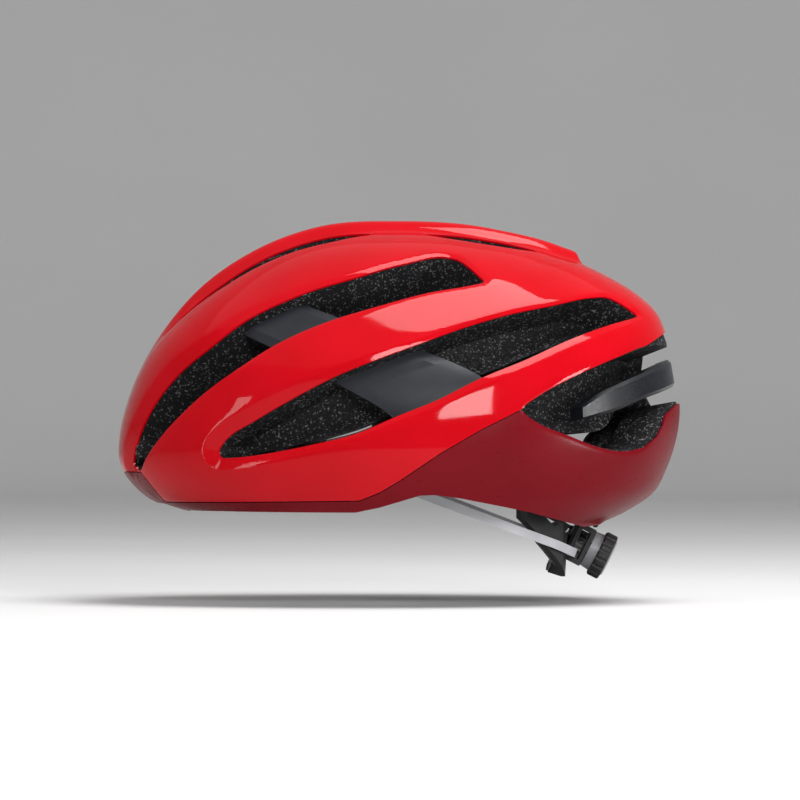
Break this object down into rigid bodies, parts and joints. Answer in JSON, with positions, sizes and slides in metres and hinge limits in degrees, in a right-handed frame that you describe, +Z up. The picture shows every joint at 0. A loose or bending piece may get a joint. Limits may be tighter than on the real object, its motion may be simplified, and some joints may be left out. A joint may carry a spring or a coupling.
{
  "type": "cycling helmet",
  "caption": "Vented cycling helmet in two-tone red: in-moulded shells on a foam liner, dark cross arch, pads, chin straps with a buckle, and a rear cradle tightened by a toothed dial.",
  "frame": {"origin": "centre of the head opening, level with the front of the rim on the midplane, where the head enters", "axes": "+X rearwards along the longest extent, +Y towards the wearer's right side, +Z up out of the crown"},
  "size_m": [0.2835, 0.2098, 0.1818],
  "materials": {
    "shell_red": "gloss polycarbonate, in-moulded",
    "shell_dark_red": "satin polycarbonate, in-moulded",
    "liner_foam": "expanded polystyrene, fine bead texture",
    "arch_plastic": "fine moulded texture",
    "pad_fabric": "brushed knit over foam",
    "hook_tape": "hook tape",
    "webbing": "plain woven polyester webbing",
    "fitting_plastic": "satin acetal",
    "band_plastic": "satin nylon",
    "gear_plastic": "natural acetal",
    "dial_grey": "satin",
    "dial_rubber": "toothed elastomer",
    "screw_steel": "zinc plated"
  },
  "bodies": {
    "helmet": {"upper_shell": "shell_red", "lower_shell": "shell_dark_red", "eps_liner": "liner_foam", "cross_arch": "arch_plastic", "rear_bridge": "arch_plastic", "brow_pad": "pad_fabric", "crown_pad_left": "pad_fabric", "crown_pad_right": "pad_fabric", "side_pad_left": "pad_fabric", "side_pad_right": "pad_fabric", "rear_pad": "pad_fabric", "pad_fasteners": "hook_tape", "temple_anchor_left": "fitting_plastic", "temple_anchor_right": "fitting_plastic", "height_anchor": "fitting_plastic", "strap_anchor_front_left": "fitting_plastic", "strap_anchor_front_right": "fitting_plastic", "strap_anchor_rear_left": "fitting_plastic", "strap_anchor_rear_right": "fitting_plastic", "front_strap_left": "webbing", "front_strap_right": "webbing", "rear_strap_left": "webbing", "rear_strap_right": "webbing", "strap_divider_left": "fitting_plastic", "strap_divider_right": "fitting_plastic", "divider_pin_left": "fitting_plastic", "divider_pin_right": "fitting_plastic", "chin_strap_left": "webbing", "chin_strap_right": "webbing", "buckle_socket": "fitting_plastic", "buckle_plug": "fitting_plastic", "strap_keeper": "fitting_plastic"},
    "fit_ring": {"band_eye_left": "band_plastic", "band_eye_right": "band_plastic", "fit_band_left": "band_plastic", "fit_band_right": "band_plastic", "height_strap": "band_plastic"},
    "cradle": {"cradle_frame": "band_plastic", "cradle_pad_left": "pad_fabric", "cradle_pad_right": "pad_fabric", "dial_housing": "band_plastic", "housing_cover": "band_plastic", "click_spring": "gear_plastic"},
    "dial": {"dial_knob": "dial_grey", "dial_grip": "dial_rubber", "pinion": "gear_plastic", "dial_screw": "screw_steel"},
    "rack_left": {"rack_left": "band_plastic"},
    "rack_right": {"rack_right": "band_plastic"},
    "lever_left": {"divider_lever_left": "fitting_plastic"},
    "lever_right": {"divider_lever_right": "fitting_plastic"},
    "prong_front": {"buckle_prong_front": "fitting_plastic"},
    "prong_rear": {"buckle_prong_rear": "fitting_plastic"}
  },
  "joints": [
    {"name": "height_adjust", "type": "hinge", "parent": "helmet", "child": "fit_ring", "pos_m": [-0.035, 0, 0.0266], "axis": [0, 1, 0], "range_deg": [0, 6], "deforming": ["height_strap"]},
    {"name": "fit_slide", "type": "slide", "parent": "fit_ring", "child": "cradle", "axis": [-0.9352, 0, 0.3541], "range_m": [-0.005, 0.005], "deforming": ["fit_band_left", "fit_band_right", "height_strap"]},
    {"name": "dial_spin", "type": "hinge", "parent": "cradle", "child": "dial", "pos_m": [0.095, 0, -0.019], "axis": [0.891, 0, -0.454], "range_deg": [-100, 100]},
    {"name": "rack_left_slide", "type": "slide", "parent": "cradle", "child": "rack_left", "axis": [0, 1, 0], "range_m": [-0.007, 0.007]},
    {"name": "rack_right_slide", "type": "slide", "parent": "cradle", "child": "rack_right", "axis": [0, -1, 0], "range_m": [-0.007, 0.007]},
    {"name": "lever_left_hinge", "type": "hinge", "parent": "helmet", "child": "lever_left", "pos_m": [-0.024, -0.05508, 0.05673], "axis": [1, 0, 0], "range_deg": [0, 75]},
    {"name": "lever_right_hinge", "type": "hinge", "parent": "helmet", "child": "lever_right", "pos_m": [-0.024, 0.05508, 0.05673], "axis": [-1, 0, 0], "range_deg": [0, 75]},
    {"name": "prong_rear_flex", "type": "hinge", "parent": "helmet", "child": "prong_rear", "pos_m": [-0.0144, 0.0056, 0.0986], "axis": [0, 0, -1], "range_deg": [0, 6], "stiffness_Nm_per_rad": 0.15},
    {"name": "prong_front_flex", "type": "hinge", "parent": "helmet", "child": "prong_front", "pos_m": [-0.0296, 0.0056, 0.0986], "axis": [0, 0, 1], "range_deg": [0, 6], "stiffness_Nm_per_rad": 0.15}
  ],
  "couplings": [
    {"joint": "dial_spin", "follows": "fit_slide", "rad_per_m": 349},
    {"joint": "rack_left_slide", "follows": "fit_slide", "ratio": 1.396},
    {"joint": "rack_right_slide", "follows": "fit_slide", "ratio": 1.396}
  ]
}
